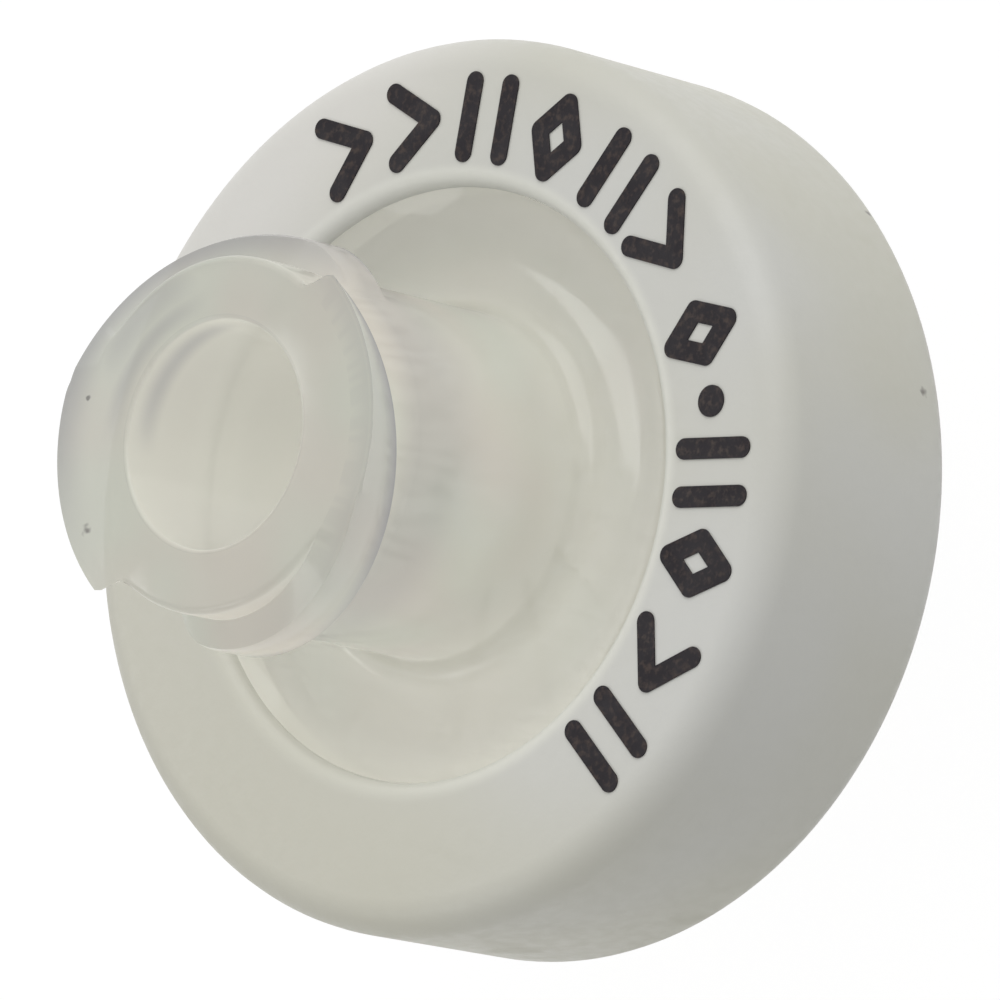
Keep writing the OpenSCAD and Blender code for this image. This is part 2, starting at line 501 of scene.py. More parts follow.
class Arc(Effect):
    """A soft arc round the flow axis, strongest towards one side."""

    title = "arc"
    entries = {"Radius": 0.001, "Width": 0.0002, "Towards": (1.0, 0.0, 0.0), "Spread": 0.3,
               "Lowest": 0.0}
    results = ("Mask",)

    def wire(self, nodes: ShaderNodes, entries: bpy.types.Node, results: bpy.types.Node) -> None:
        """Multiplies a band round the axis, a share of the turn and a lowest height.

        Args:
            nodes: The group's nodes.
            entries: Node that gives the group's entries.
            results: Node that takes the group's results.
        """
        radius = nodes.from_axis()
        off = nodes.apart(radius, entries.outputs["Radius"])
        band = nodes.ramp(nodes.maths("DIVIDE", off, entries.outputs["Width"]), 0.0, 1.0, 1.0, 0.0)
        turned_to = nodes.maths("DIVIDE", nodes.along(entries.outputs["Towards"]), radius)
        share = nodes.ramp(turned_to, entries.outputs["Spread"], 1.0)
        high = nodes.maths("GREATER_THAN", nodes.height(), entries.outputs["Lowest"])
        nodes.feed(results.inputs["Mask"], nodes.times(band, share, high))


# ---- finishes ----------------------------------------------------------------------


@dataclass(frozen=True)
class Grain:
    """One dark grain of dirt on a piece.

    Attributes:
        centre: Where it lies, in millimetres.
        radius: Its radius, in millimetres.
    """

    centre: Triple
    radius: float


@dataclass(frozen=True)
class Shade:
    """One soft arc of painted shade in the clear plastic, where an edge bends the light away.

    Attributes:
        radius: Distance of its middle from the axis, in millimetres.
        width: Distance from its middle to its edges, in millimetres.
        towards: Side on which it is strongest, in degrees from +X.
        reach: Angle from there to its ends, in degrees.
        lowest: Height above which it lies, in millimetres.
        depth: Share of the shade's colour at its middle.
    """

    radius: float
    width: float
    towards: float
    reach: float
    lowest: float
    depth: float


@dataclass(frozen=True)
class Finish:
    """What all finishes share.

    Attributes:
        name: Name of the material.
        colour: Main colour, as a screen shows it.
        grain_scale: Waves per metre of its finest pattern.
        roughness: Its roughness where the pattern that it follows is low and where it is high.
        relief_depth: Depth of the relief on its skin.
        relief_share: Share of that relief that shows.
        cloud_scale: Waves per metre of its broad clouds.
        rough_edge: Values of that pattern between which the roughness changes.
        streak_scale: Waves per metre of its rubbed streaks.
        streak_spread: How far the streaks spread.
        worn: Roughness that a streak adds, or 0 for a piece without streaks.
        specks: Grains of dirt that lie on the piece.
        dirt_colour: Colour of those grains.
    """

    name: str
    colour: Shown
    grain_scale: float
    roughness: Range
    relief_depth: float
    relief_share: float = 1.0
    cloud_scale: float = 0.0
    rough_edge: Range = (0.0, 1.0)
    streak_scale: float = 0.0
    streak_spread: float = 0.0
    worn: float = 0.0
    specks: tuple[Grain, ...] = ()
    dirt_colour: Shown = (140, 136, 130)

    def shade(self, nodes: ShaderNodes, shader: bpy.types.Node) -> None:
        """Sets and joins the shader's sockets. Each finish has its own."""
        raise NotImplementedError

    def skin(self, nodes: ShaderNodes) -> bpy.types.Node:
        """Places the grain and the clouds."""
        return MouldGrain().place(nodes, Grain_Scale=self.grain_scale, Cloud_Scale=self.cloud_scale)

    def soiled(self, nodes: ShaderNodes, colour: Feed) -> Feed:
        """Lays the grains of dirt over a colour.

        Args:
            nodes: The material's nodes.
            colour: Colour of the clean piece.

        Returns:
            The colour with the dirt on it.
        """
        for grain in self.specks:
            spot = Speck().place(nodes, Centre=tuple(c * MM for c in grain.centre),
                                 Radius=grain.radius * MM)
            colour = nodes.blend(spot.outputs["Mask"], colour, display(*self.dirt_colour))
        return colour

    def dress(self, nodes: ShaderNodes, shader: bpy.types.Node, colour: Feed,
              pattern: bpy.types.NodeSocket, height: bpy.types.NodeSocket) -> None:
        """Joins the colour, the roughness with its rubbed streaks, and the relief.

        Args:
            nodes: The material's nodes.
            shader: Its Principled BSDF.
            colour: Colour over the piece.
            pattern: Pattern that the roughness follows.
            height: Height of the relief, from 0 to 1.
        """
        roughness = nodes.ramp(pattern, *self.rough_edge, *self.roughness)
        if self.worn > 0.0:
            rubbed = HandlingMarks().place(nodes, Streak_Scale=self.streak_scale,
                                           Spread=self.streak_spread)
            worn = nodes.times(rubbed.outputs["Mask"], self.worn)
            roughness = nodes.maths("ADD", roughness, worn)
        nodes.feed(shader.inputs["Base Color"], colour)
        nodes.feed(shader.inputs["Roughness"], roughness)
        nodes.feed(shader.inputs["Normal"],
                   nodes.relief(height, self.relief_depth, self.relief_share))

    def material(self) -> bpy.types.Material:
        """Builds the material.

        Returns:
            The material, ready to put on a piece.
        """
        made = bpy.data.materials.new(self.name)
        made.use_nodes = True
        made.diffuse_color = display(*self.colour)
        nodes = ShaderNodes(made.node_tree)
        self.shade(nodes, made.node_tree.nodes["Principled BSDF"])
        return made


@dataclass(frozen=True)
class WhiteOvermould(Finish):
    """Satin white moulding with a fine grain and a few rubbed streaks.

    Attributes:
        shadow_colour: Colour of its darker clouds.
        lip_highlight_colour: Painted highlight on its lips round the windows, lighter where light
            catches their round.
        lip_r: Distances from the axis between which a lip ends.
        duller_side_colour: Colour towards one side, warmer and darker than the rest.
        duller_side: Direction of that side.
        duller_reach: Distances along that direction between which the colour comes in.
        lit_side_colour: Painted light: colour of the side painted lighter, where more light falls.
        lit_side: Direction of that side.
        lit_reach: Distances along that direction between which the painted light comes in.
        side_share: The most of either side's colour that shows.
    """

    name: str = "white_overmould"
    colour: Shown = (213, 213, 208)
    shadow_colour: Shown = (208, 207, 195)
    lip_highlight_colour: Shown = (229, 229, 219)
    lip_r: Range = (5.85 * MM, 6.15 * MM)
    duller_side_colour: Shown = (206, 204, 188)
    duller_side: Triple = (-0.8, 0.6, 0.0)
    duller_reach: Range = (0.0 * MM, 7.5 * MM)
    lit_side_colour: Shown = (228, 226, 221)
    lit_side: Triple = (0.6, 0.8, 0.0)
    lit_reach: Range = (4.5 * MM, 7.5 * MM)
    side_share: float = 0.8
    grain_scale: float = 3600.0
    cloud_scale: float = 170.0
    roughness: Range = (0.37, 0.49)
    rough_edge: Range = (0.3, 0.7)
    relief_depth: float = 0.012 * MM
    relief_share: float = 0.6
    streak_scale: float = 1100.0
    streak_spread: float = 0.06
    worn: float = 0.12
    specks: tuple[Grain, ...] = (Grain((6.79, -5.27, 8.10), 0.11), Grain((3.68, -7.77, 8.42), 0.10))

    def shade(self, nodes: ShaderNodes, shader: bpy.types.Node) -> None:
        """Joins the clouds, the painted highlight on the lips, the warmer, darker side, the painted
        light on the other side and the grain to the shader.

        Args:
            nodes: The material's nodes.
            shader: Its Principled BSDF.
        """
        skin = self.skin(nodes)
        tone = nodes.blend(skin.outputs["Cloud"], display(*self.shadow_colour),
                           display(*self.colour))
        # painted highlight: the lips round the windows are lighter, where light catches their round
        lip = nodes.ramp(nodes.from_axis(), *self.lip_r, 1.0, 0.0)
        tone = nodes.blend(lip, tone, display(*self.lip_highlight_colour))
        # the first side is warmer and darker; the second is painted light, lighter where more light
        # falls
        for colour, side, reach in ((self.duller_side_colour, self.duller_side, self.duller_reach),
                                    (self.lit_side_colour, self.lit_side, self.lit_reach)):
            share = nodes.ramp(nodes.along(side), *reach, 0.0, self.side_share)
            tone = nodes.blend(share, tone, display(*colour))
        nodes.feed(shader.inputs["IOR"], PLASTIC_IOR)
        grain = skin.outputs["Grain"]
        self.dress(nodes, shader, self.soiled(nodes, tone), grain, grain)


@dataclass(frozen=True)
class NaturalPolypropylene(Finish):
    """Clear, slightly milky polypropylene with soft flow clouds.

    Attributes:
        warm_colour: Colour of the warmer clouds in it.
        plate_painted_light: Painted light on the thin plate over the white discs, which it makes
            lighter.
        plate_share: The most of that colour that shows.
        plate_z: Heights between which that painted light fades, as the neck rises out of the plate.
        edge_painted_light: Painted light near the window's edge, where the white ring shows through.
        edge_share: The most of that colour that shows.
        edge_r: Distances from the axis between which it comes in.
        socket_painted_light: Painted light in the socket, where light comes in all round.
        socket_share: The most of that colour that shows.
        socket_wall: Distances from the axis between which the socket's wall ends.
        painted_shade_colour: Colour of the painted shades, such as that along the flanks of the
            threads.
        shine: Strength of its reflections.
        glow: Share of the light that comes through from behind.
        slant_blend: How early a face counts as seen at a slant.
        slant_edge: Slants between which the cover grows.
        cover_square: How much a face covers of what is behind it, seen squarely.
        cover_grazing: The same at a slant.
        cover_within: The same for a face that is seen from inside the plastic.
        cover_hub: The least that the thick end of the hub covers outside its socket.
        cover_socket: Share of the cover that is left in the socket.
        cover_rib: Share of the cover that is left on the thin ribs over the discs.
        let_by: Share of the light that each wall lets by onto other faces.
        thick_z: Heights between which the hub grows thick.
        thick_r: Distances from the axis between which it grows thick.
        collar_z: Heights between which the neck's painted shade under the threads grows and fades.
        collar_r: Distances from the axis between which that shade starts.
        collar_depth: Share of the shade's colour there.
        rib_z: Height of the middle of the ribs.
        rib_reach: Distances from that height between which the ribs end.
        shades: Arcs of painted shade at the hub's end.
    """

    name: str = "natural_polypropylene"
    colour: Shown = (232, 234, 220)
    warm_colour: Shown = (233, 227, 215)
    plate_painted_light: Shown = (246, 245, 231)
    plate_share: float = 0.65
    plate_z: Range = (12.3 * MM, 13.6 * MM)
    edge_painted_light: Shown = (254, 252, 240)
    edge_share: float = 0.8
    edge_r: Range = (4.4 * MM, 5.5 * MM)
    socket_painted_light: Shown = (240, 238, 224)
    socket_share: float = 0.9
    socket_wall: Range = (2.15 * MM, 2.18 * MM)
    painted_shade_colour: Shown = (178, 177, 179)
    grain_scale: float = 1500.0
    cloud_scale: float = 330.0
    roughness: Range = (0.05, 0.14)
    relief_depth: float = 0.008 * MM
    relief_share: float = 0.5
    streak_scale: float = 1400.0
    streak_spread: float = 0.05
    worn: float = 0.15
    shine: float = 0.9
    glow: float = 0.45
    slant_blend: float = 0.35
    slant_edge: Range = (0.15, 0.95)
    cover_square: float = 0.84
    cover_grazing: float = 0.92
    cover_within: float = 0.2
    cover_hub: float = 0.92
    cover_socket: float = 0.9
    cover_rib: float = 0.15
    let_by: float = 0.99
    thick_z: Range = (15.2 * MM, 17.2 * MM)
    thick_r: Range = (2.17 * MM, 2.25 * MM)
    collar_z: tuple[float, float, float, float] = (14.6 * MM, 16.2 * MM, 16.8 * MM, 17.6 * MM)
    collar_r: Range = (3.1 * MM, 3.3 * MM)
    collar_depth: float = 0.35
    rib_z: float = 10.55 * MM
    rib_reach: Range = (0.17 * MM, 0.22 * MM)
    specks: tuple[Grain, ...] = (Grain((0.13, 3.32, 18.80), 0.07), Grain((-2.26, 2.62, 18.80), 0.11))
    shades: tuple[Shade, ...] = (Shade(2.135, 0.012, 60.0, 52.0, 17.5, 0.55),
                                 Shade(2.06, 0.13, 175.0, 75.0, 12.0, 0.2),
                                 Shade(2.52, 0.32, 62.0, 45.0, 18.5, 0.42),
                                 Shade(3.1, 0.6, 52.0, 30.0, 18.0, 0.4),
                                 Shade(3.9, 0.15, -60.0, 110.0, 15.0, 0.35),
                                 Shade(4.0, 1.0, 50.0, 100.0, 16.0, 0.85))

    def shade(self, nodes: ShaderNodes, shader: bpy.types.Node) -> None:
        """Joins the tones, the painted light and shade, the flow clouds and the grain to the shader.

        Args:
            nodes: The material's nodes.
            shader: Its Principled BSDF.
        """
        skin = self.skin(nodes)
        cloud = skin.outputs["Cloud"]
        tone = nodes.blend(cloud, display(*self.colour), display(*self.warm_colour))
        for share, colour in (
                # painted light: the thin plate over the white discs is lighter, fading up the neck
                (nodes.ramp(nodes.height(), *self.plate_z, self.plate_share, 0.0), self.plate_painted_light),
                # painted light: lighter near the window's edge
                (nodes.ramp(nodes.from_axis(), *self.edge_r, 0.0, self.edge_share), self.edge_painted_light),
                # painted light: lighter inside the socket
                (nodes.ramp(nodes.from_axis(), *self.socket_wall, self.socket_share, 0.0),
                 self.socket_painted_light),
                # painted shade: along the thread flanks, on the neck under the threads, and in arcs
                # on the hub
                (self.painted_shade(nodes), self.painted_shade_colour)):
            tone = nodes.blend(share, tone, display(*colour))
        tone = self.soiled(nodes, tone)
        nodes.feed(shader.inputs["IOR"], PLASTIC_IOR)
        nodes.feed(shader.inputs["Specular IOR Level"], self.shine)
        self.dress(nodes, shader, tone, cloud, skin.outputs["Grain"])
        self.clear(nodes, shader, tone)

    def painted_shade(self, nodes: ShaderNodes) -> bpy.types.NodeSocket:
        """Gathers the painted shades: thread flanks, the neck under the threads, and the arcs.

        Args:
            nodes: The material's nodes.

        Returns:
            Share of the shade's colour, from 0 to 1.
        """
        low, full, held, gone = self.collar_z
        collar = nodes.times(nodes.ramp(nodes.height(), low, full),
                             nodes.ramp(nodes.height(), held, gone, self.collar_depth, 0.0),
                             nodes.ramp(nodes.from_axis(), *self.collar_r))
        # painted shade along the thread flanks, written when the threads are wound
        flank = nodes.add("ShaderNodeAttribute", attribute_name=THREAD_SHADE).outputs["Fac"]
        deepest = nodes.most(flank, collar)
        for shade in self.shades:
            turn = math.radians(shade.towards)
            arc = Arc().place(nodes, Radius=shade.radius * MM, Width=shade.width * MM,
                              Towards=(math.cos(turn), math.sin(turn), 0.0),
                              Spread=math.cos(math.radians(shade.reach)), Lowest=shade.lowest * MM)
            deepest = nodes.most(deepest, nodes.times(arc.outputs["Mask"], shade.depth))
        return deepest

    def clear(self, nodes: ShaderNodes, shader: bpy.types.Node, tone: Feed) -> None:
        """Lets light come through the plastic and shows what lies behind it.

        Light that falls on other faces passes, but for a small share lost at each wall.

        Args:
            nodes: The material's nodes.
            shader: Shader of the plastic's own skin.
            tone: Colour of the plastic.
        """
        glow = nodes.add("ShaderNodeBsdfTranslucent")
        nodes.feed(glow.inputs["Color"], tone)
        milky = nodes.mixed(self.glow, shader.outputs[0], glow.outputs[0])
        behind = nodes.add("ShaderNodeBsdfTransparent")
        body = nodes.mixed(self.cover(nodes), behind.outputs[0], milky)
        path = nodes.add("ShaderNodeLightPath")
        lighting = nodes.most(path.outputs["Is Glossy Ray"], path.outputs["Is Shadow Ray"],
                              path.outputs["Is Diffuse Ray"])
        let_by = nodes.add("ShaderNodeBsdfTransparent")
        nodes.feed(let_by.inputs["Color"], (self.let_by, self.let_by, self.let_by, 1.0))
        nodes.show(nodes.mixed(lighting, body, let_by.outputs[0]))

    def cover(self, nodes: ShaderNodes) -> bpy.types.NodeSocket:
        """Works out how much of what lies behind a face it covers.

        A face that is seen at a slant covers more, and so does the thick end of the hub.

        Args:
            nodes: The material's nodes.

        Returns:
            The cover, from 0 to 1.
        """
        slant = nodes.add("ShaderNodeLayerWeight")
        nodes.feed(slant.inputs["Blend"], self.slant_blend)
        plain = nodes.ramp(slant.outputs["Facing"], *self.slant_edge, self.cover_square,
                           self.cover_grazing)
        thick = nodes.times(nodes.ramp(nodes.height(), *self.thick_z),
                            nodes.ramp(nodes.from_axis(), *self.thick_r, 0.0, self.cover_hub))
        socket = nodes.ramp(nodes.from_axis(), *self.socket_wall, self.cover_socket, 1.0)
        rib = nodes.ramp(nodes.apart(nodes.height(), self.rib_z), *self.rib_reach,
                         self.cover_rib, 1.0)
        outside = nodes.times(nodes.most(plain, thick), socket, rib)
        within = nodes.add("ShaderNodeNewGeometry").outputs["Backfacing"]
        return nodes.pick(within, outside, self.cover_within)


@dataclass(frozen=True)
class GlassFibre(Finish):
    """Matt white felt of short glass fibres.

    Attributes:
        gap_colour: Colour between the fibres.
        fibre_turns: Directions of the fibres round the flow axis, in radians.
        fibre_stretch: Factors that draw the noise out into fibres.
        fibre_edge: Values of the noise between which a fibre comes in.
    """

    name: str = "glass_fibre"
    colour: Shown = (247, 246, 240)
    gap_colour: Shown = (226, 225, 216)
    fibre_turns: tuple[float, ...] = (0.3, 1.4, 2.5)
    fibre_stretch: Triple = (1.0, 0.12, 1.0)
    fibre_edge: Range = (0.45, 0.7)
    grain_scale: float = 7000.0
    roughness: Range = (1.0, 0.85)
    relief_depth: float = 0.03 * MM

    def shade(self, nodes: ShaderNodes, shader: bpy.types.Node) -> None:
        """Crosses three fibre directions into one felt.

        Args:
            nodes: The material's nodes.
            shader: Its Principled BSDF.
        """
        fibres = []
        for turn in self.fibre_turns:
            along = nodes.stretched(nodes.here(), self.fibre_stretch, (0.0, 0.0, turn))
            fibre = nodes.noise(along, self.grain_scale, detail=2.0, rough=0.6)
            fibres.append(nodes.ramp(fibre, *self.fibre_edge))
        felt = nodes.most(*fibres)
        tone = nodes.blend(felt, display(*self.gap_colour), display(*self.colour))
        self.dress(nodes, shader, tone, felt, felt)


@dataclass(frozen=True)
class Membrane(Finish):
    """Matt white microporous film.

    Attributes:
        pore_colour: Colour of its pores.
        pore_edge: Values of the grain between which a pore ends.
    """

    name: str = "membrane"
    colour: Shown = (249, 249, 246)
    pore_colour: Shown = (234, 234, 230)
    pore_edge: Range = (0.35, 0.6)
    grain_scale: float = 14000.0
    cloud_scale: float = 500.0
    roughness: Range = (0.62, 0.72)
    relief_depth: float = 0.004 * MM

    def shade(self, nodes: ShaderNodes, shader: bpy.types.Node) -> None:
        """Speckles the film with its pores.

        Args:
            nodes: The material's nodes.
            shader: Its Principled BSDF.
        """
        skin = self.skin(nodes)
        film = nodes.ramp(skin.outputs["Grain"], *self.pore_edge)
        tone = nodes.blend(film, display(*self.pore_colour), display(*self.colour))
        self.dress(nodes, shader, tone, skin.outputs["Cloud"], film)


@dataclass(frozen=True)
class PrintingInk(Finish):
    """Pad-printed black ink, a little thin in places.

    Attributes:
        thin_colour: Colour where it is thin.
        thin_edge: Values of the grain between which it grows thin.
        shine: Strength of its reflections.
    """

    name: str = "black_ink"
    colour: Shown = (35, 31, 35)
    thin_colour: Shown = (68, 58, 54)
    thin_edge: Range = (0.45, 0.75)
    grain_scale: float = 6000.0
    cloud_scale: float = 1500.0
    roughness: Range = (0.42, 0.6)
    relief_depth: float = 0.008 * MM
    shine: float = 0.2

    def shade(self, nodes: ShaderNodes, shader: bpy.types.Node) -> None:
        """Thins the ink in small patches.

        Args:
            nodes: The material's nodes.
            shader: Its Principled BSDF.
        """
        skin = self.skin(nodes)
        thin = nodes.ramp(skin.outputs["Grain"], *self.thin_edge)
        tone = nodes.blend(thin, display(*self.colour), display(*self.thin_colour))
        nodes.feed(shader.inputs["Specular IOR Level"], self.shine)
        self.dress(nodes, shader, tone, skin.outputs["Cloud"], skin.outputs["Grain"])


# ---- turned shapes -----------------------------------------------------------------


@dataclass(frozen=True)
class Corner:
    """A corner of a turned outline.

    Attributes:
        r: Distance from the axis.
        z: Height.
        ease: Radius of the round that takes the corner off, or 0 for a sharp one.
    """

    r: float
    z: float
    ease: float = 0.0


def turned(outline: list[Corner], steps: int = TURN_STEPS) -> bmesh.types.BMesh:
    """Eases the corners of an outline and spins it round the flow axis.

    Args:
        outline: Corners in order. Unless both ends lie on the axis, they are joined.
        steps: Steps of the whole turn.

    Returns:
        A closed shell whose faces point outwards.
    """
    mesh = bmesh.new()
    points = [mesh.verts.new((corner.r, 0.0, corner.z)) for corner in outline]
    pairs = list(zip(points, points[1:]))
    if outline[0].r > 0.0 or outline[-1].r > 0.0:
        pairs.append((points[-1], points[0]))
    for pair in pairs:
        mesh.edges.new(pair)
    for point, corner in zip(points, outline):
        if corner.ease > 0.0:
            sides = [(edge.other_vert(point).co - point.co) for edge in point.link_edges]
            setback = corner.ease / math.tan(sides[0].angle(sides[1]) / 2)
            bmesh.ops.bevel(mesh, geom=[point], offset=setback, offset_type="OFFSET",
                            affect="VERTICES", segments=ROUND_STEPS, profile=0.5, material=-1)
    bmesh.ops.spin(mesh, geom=mesh.verts[:] + mesh.edges[:], cent=(0, 0, 0), axis=(0, 0, 1),
                   dvec=(0, 0, 0), angle=math.tau, steps=steps, use_merge=True)
    bmesh.ops.remove_doubles(mesh, verts=mesh.verts[:], dist=WELD)
    bmesh.ops.recalc_face_normals(mesh, faces=mesh.faces[:])
    return mesh


def linked(data: bpy.types.ID) -> bpy.types.Object:
    """Puts a mesh, a lamp or a camera into the scene, under its own name.

    Args:
        data: The mesh, the lamp or the camera.

    Returns:
        The object that shows it.
    """
    made = bpy.data.objects.new(data.name, data)
    bpy.context.scene.collection.objects.link(made)
    return made


def placed(name: str, mesh: bmesh.types.BMesh) -> bpy.types.Object:
    """Turns a bmesh into an object in the scene.

    Args:
        name: Name of the object and of its mesh.
        mesh: Its shape, in place. It is freed.

    Returns:
        The object.
    """
    data = bpy.data.meshes.new(name)
    mesh.to_mesh(data)
    mesh.free()
    return linked(data)


def finished(name: str, mesh: bmesh.types.BMesh, material: bpy.types.Material,
             slot: Slot) -> bpy.types.Object:
    """Turns a bmesh into a piece of the object.

    Args:
        name: Name of the piece.
        mesh: Its shape, in place. It is freed.
        material: Its material.
        slot: The record's slot for that material.

    Returns:
        The piece, riding on the part's body.
    """
    for face in mesh.faces:
        face.smooth = True
    for edge in mesh.edges:
        edge.smooth = edge.calc_face_angle(0.0) < math.radians(CREASE)
    piece = placed(name, mesh)
    piece.data.materials.append(material)
    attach(piece, BODY)
    LOG.info("%s: %d faces, %s", name, len(piece.data.polygons), slot.value)
    return piece


@dataclass(frozen=True)
class Fit:
    """Where the pieces meet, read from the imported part.

    Attributes:
        ring_bottom: Height of the ring's outlet face.
        ring_top: Height of the ring's inlet face.
        hub_end: Height of the hub's end.
        parting: Height at which the two housings meet.
        pocket_floor: Height on which the discs lie.
        ring_r: Radius of the ring.
        rim_r: Radius of the housings' rims.
        disc_r: Radius of the discs.
        cover: Thickness of the ring over and under the rims.
        window_in: How far the windows' edges lie inside the discs' edge.
        lip: Depth of the windows' edges below the ring's faces.
    """

    ring_bottom: float
    ring_top: float
    hub_end: float
    parting: float
    pocket_floor: float
    ring_r: float
    rim_r: float
    disc_r: float
    cover: float = 1.05 * MM
    window_in: float = 0.8 * MM
    lip: float = 0.3 * MM

    @classmethod
    def read(cls) -> "Fit":
        """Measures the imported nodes.

        Returns:
            Where the pieces meet.
        """
        ring_low, ring_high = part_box("overmould_ring")
        inlet_low, inlet_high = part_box("inlet_housing")
        membrane_low, membrane_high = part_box("pes_membrane")
        return cls(ring_bottom=ring_low.z, ring_top=ring_high.z, hub_end=inlet_high.z,
                   parting=inlet_low.z, pocket_floor=membrane_low.z, ring_r=ring_high.x,
                   rim_r=inlet_high.x, disc_r=membrane_high.x)

    @property
    def window_r(self) -> float:
        """Radius of both windows."""
        return self.disc_r - self.window_in


@dataclass(frozen=True)
class Dish:
    """The trough round a stem: a round at its foot, a flat floor and an arc to the edge.

    Attributes:
        stem_r: Radius of the stem at its foot.
        foot_round: Round at the stem's foot.
        edge_r: Radius of the window's edge.
        edge_z: Height of the window's edge.
        up: 1 for a dish that opens upwards, -1 for one that opens downwards.
        depth: Depth of the floor below the edge.
        floor_w: Width of the flat floor.
        arc_steps: Steps of the arc.
    """

    stem_r: float
    foot_round: float
    edge_r: float
    edge_z: float
    up: int
    depth: float = 0.45 * MM
    floor_w: float = 0.55 * MM
    arc_steps: int = 12

    @property
    def floor_z(self) -> float:
        """Height of the flat floor."""
        return self.edge_z - self.up * self.depth

    def corners(self) -> list[Corner]:
        """Gives the dish's outline, from the stem to the window's edge.

        Returns:
            The outline's corners.
        """
        start = self.stem_r + self.foot_round + self.floor_w
        width = self.edge_r - start
        radius = (width ** 2 + self.depth ** 2) / (2 * self.depth)
        end = math.asin(width / radius)
        turns = [end * i / self.arc_steps for i in range(self.arc_steps + 1)]
        arc = [Corner(start + radius * math.sin(turn),
                      self.floor_z + self.up * radius * (1 - math.cos(turn))) for turn in turns]
        return [Corner(self.stem_r, self.floor_z, self.foot_round), *arc]


# ---- pieces ------------------------------------------------------------------------


@dataclass
class OvermouldRing:
    """The white ring that is moulded round both rims.

    Attributes:
        fit: Where the pieces meet.
        material: Its material.
        front_round: Round of its outer edge on the inlet side.
        back_round: The same on the outlet side.
    """

    fit: Fit
    material: bpy.types.Material
    front_round: float = 0.7 * MM
    back_round: float = 0.6 * MM

    def outline(self) -> list[Corner]:
        """Gives the ring's section, with the groove that holds the rims.

        Returns:
            The section's corners.
        """
        fit = self.fit
        return [Corner(fit.window_r, fit.ring_top, fit.lip),
                Corner(fit.ring_r, fit.ring_top, self.front_round),
                Corner(fit.ring_r, fit.ring_bottom, self.back_round),
                Corner(fit.window_r, fit.ring_bottom, fit.lip),
                Corner(fit.window_r, fit.ring_bottom + fit.cover),
                Corner(fit.rim_r, fit.ring_bottom + fit.cover),
                Corner(fit.rim_r, fit.ring_top - fit.cover),
                Corner(fit.window_r, fit.ring_top - fit.cover)]

    def build(self) -> None:
        """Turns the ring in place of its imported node."""
        ring = finished("ring_skin", turned(self.outline()), self.material, Slot.OVERMOULD)
        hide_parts("overmould_ring")


@dataclass(frozen=True)
class LuerThread:
    """The hub's two threads, as a rule that gives their section at any angle.

    Both run down from the hub's end, clockwise as seen from the inlet, and the end
    cuts off what rises above it.

    Attributes:
        hub_r: Radius of the hub under the threads.
        hub_end: Height of the hub's end.
        crest_r: Radius over the threads.
        lead: Drop in one whole turn.
        sweep: Angle that each thread covers, in degrees.
        start: Angle of the first thread's start, in degrees.
        spacing: Angle from there to the second thread's start.
        crest_w: Width at the crest.
        foot_w: Width at the foot.
        crest_ease: How much the crest's two edges are rounded.
        shade_w: Width of the band in which a flank's painted shade fades.
        shade_side: Angle of the side on which the shade is strongest, in degrees.
        shade_aside: Share of the shade a quarter of a turn away from there.
        fade_in: Angle over which a thread grows at its start.
        fade_out: Angle over which it sinks into the hub at its end.
    """

    hub_r: float
    hub_end: float
    crest_r: float = 3.9 * MM
    lead: float = 5.0 * MM
    sweep: float = 176.0
    start: float = 154.0
    spacing: float = 180.0
    crest_w: float = 1.05 * MM
    foot_w: float = 1.35 * MM
    crest_ease: float = 0.12 * MM
    shade_w: float = 0.4 * MM
    shade_side: float = -45.0
    shade_aside: float = 0.5
    fade_in: float = 5.0
    fade_out: float = 20.0

    def section(self) -> list[tuple[float, float, float]]:
        """Gives the thread's section, from its upper foot down to the shade under it.

        Returns:
            Each row's share of the rise, height over the crest's lower edge, and painted shade.
        """
        flank = (self.foot_w - self.crest_w) / 2
        soft = self.crest_ease
        bend = soft * ROUND_MIDDLE
        inner = 1 - soft / (self.crest_r - self.hub_r)
        middle = 1 - bend / (self.crest_r - self.hub_r)
        return [(0.0, self.crest_w + flank, 0.1),
                (inner, self.crest_w, 0.25),
                (middle, self.crest_w - bend, 0.15),
                (1.0, self.crest_w - soft, 0.0),
                (1.0, soft + self.shade_w, 0.0),
                (1.0, soft, 0.9),
                (middle, bend, 1.0),
                (inner, 0.0, 1.0),
                (0.0, -flank, 0.7),
                (0.0, -flank - self.shade_w, 0.0)]

    def point(self, row: int, angle: float) -> tuple[float, float, float]:
        """Places one row of the section.

        Args:
            row: Index of the row, from the top.
            angle: Angle round the axis, in degrees.

        Returns:
            Radius, height and shade.
        """
        past = (self.start - angle) % self.spacing
        # beyond the middle of the gap after a thread, the place belongs to the next start
        if past > (self.sweep + self.spacing) / 2:
            past = 0.0
            rise = 0.0
        else:
            grown = min(1.0, past / self.fade_in)
            left = held((self.sweep - past) / self.fade_out)
            rise = grown * math.sin(left * math.pi / 2)
        share, height, shade = self.section()[row]
        near = math.cos(math.radians(angle - self.shade_side))
        z = min(self.hub_end, self.hub_end - self.lead * past / 360.0 + height)
        return (self.hub_r + (self.crest_r - self.hub_r) * rise * share, z,
                shade * rise * held(self.shade_aside + near))


@dataclass
class Housing:
    """What the two clear halves share.

    Attributes:
        fit: Where the pieces meet.
        material: Its material.
        luer_taper: Change of diameter over length in its Luer cone.
        seal_w: Width of the face that presses on the discs' edge.
    """

    fit: Fit
    material: bpy.types.Material
    luer_taper: float = 0.06
    seal_w: float = 0.6 * MM

    def rim(self, face: float, up: int) -> list[Corner]:
        """Gives the rim's outline, from the edge of the window to the parting.

        Args:
            face: Height of the ring's face on this side.
            up: 1 for the inlet half, -1 for the outlet half.

        Returns:
            The outline's corners.
        """
        fit = self.fit
        back = face - up * (fit.cover + SEAM)
        return [Corner(fit.window_r - SEAM, back),
                Corner(fit.rim_r - SEAM, back),
                Corner(fit.rim_r - SEAM, fit.parting + up * SEAM)]


